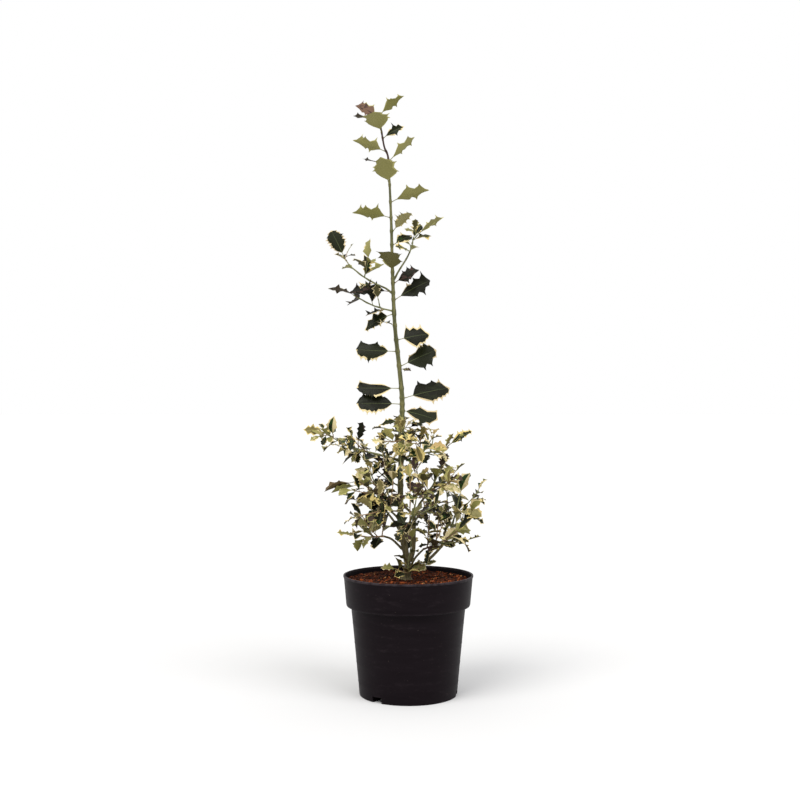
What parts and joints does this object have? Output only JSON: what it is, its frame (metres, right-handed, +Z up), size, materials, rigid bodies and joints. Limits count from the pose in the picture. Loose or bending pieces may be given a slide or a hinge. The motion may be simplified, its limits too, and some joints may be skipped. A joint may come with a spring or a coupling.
{
  "type": "potted holly tree",
  "caption": "Young cream-edged variegated holly with a single tall leader and a bushy foot, in a round black nursery pot of bark mix.",
  "frame": {"origin": "centre of the pot's flat underside", "axes": "+Z up along the leader from the pot's underside to its tip, +X to the right seen from the front, -Y is the front"},
  "size_m": [0.2716, 0.2142, 0.8734],
  "materials": {
    "black_plastic": "dull black injection-moulded polypropylene",
    "bark_mix": "loose moist reddish-brown bark chips and fines",
    "green_bark": "smooth grey-green young bark",
    "holly_leaf": "glossy dark green holly leaf with a cream spiny margin"
  },
  "bodies": {
    "root": {"bough_back_left": "green_bark", "bough_back_right": "green_bark", "bough_front_left": "green_bark", "bough_front_right": "green_bark", "bough_left_high": "green_bark", "bough_left_low": "green_bark", "bough_left_mid": "green_bark", "bough_right_far": "green_bark", "bough_right_high": "green_bark", "bough_right_low": "green_bark", "bough_right_mid": "green_bark", "bough_second_stem": "green_bark", "bough_upper_left": "green_bark", "bough_upper_right": "green_bark", "foliage_back_left": "holly_leaf", "foliage_back_right": "holly_leaf", "foliage_centre_back": "holly_leaf", "foliage_centre_front": "holly_leaf", "foliage_centre_left": "holly_leaf", "foliage_foot": "holly_leaf", "foliage_front_left": "holly_leaf", "foliage_front_right": "holly_leaf", "foliage_left_high": "holly_leaf", "foliage_left_low": "holly_leaf", "foliage_left_mid": "holly_leaf", "foliage_right_far": "holly_leaf", "foliage_right_high": "holly_leaf", "foliage_right_low": "holly_leaf", "foliage_right_mid": "holly_leaf", "foliage_upper_left": "holly_leaf", "foliage_upper_left_low": "holly_leaf", "foliage_upper_right": "holly_leaf", "leader_leaf_01": "holly_leaf", "leader_leaf_02": "holly_leaf", "leader_leaf_03": "holly_leaf", "leader_leaf_04": "holly_leaf", "leader_leaf_05": "holly_leaf", "leader_leaf_06": "holly_leaf", "leader_leaf_07": "holly_leaf", "leader_leaf_08": "holly_leaf", "leader_leaf_09": "holly_leaf", "leader_leaf_10": "holly_leaf", "leader_leaf_11": "holly_leaf", "leader_leaf_12": "holly_leaf", "leader_leaf_13": "holly_leaf", "leader_leaf_14": "holly_leaf", "leader_leaf_15": "holly_leaf", "leader_leaf_16": "holly_leaf", "leader_leaf_17": "holly_leaf", "leader_leaf_18": "holly_leaf", "leader_leaf_19": "holly_leaf", "leader_leaf_20": "holly_leaf", "leader_leaf_21": "holly_leaf", "leader_leaf_22": "holly_leaf", "leader_leaf_23": "holly_leaf", "leader_leaf_24": "holly_leaf", "leader_leaf_25": "holly_leaf", "pot": "black_plastic", "potting_mix": "bark_mix", "trunk": "green_bark"}
  },
  "joints": []
}
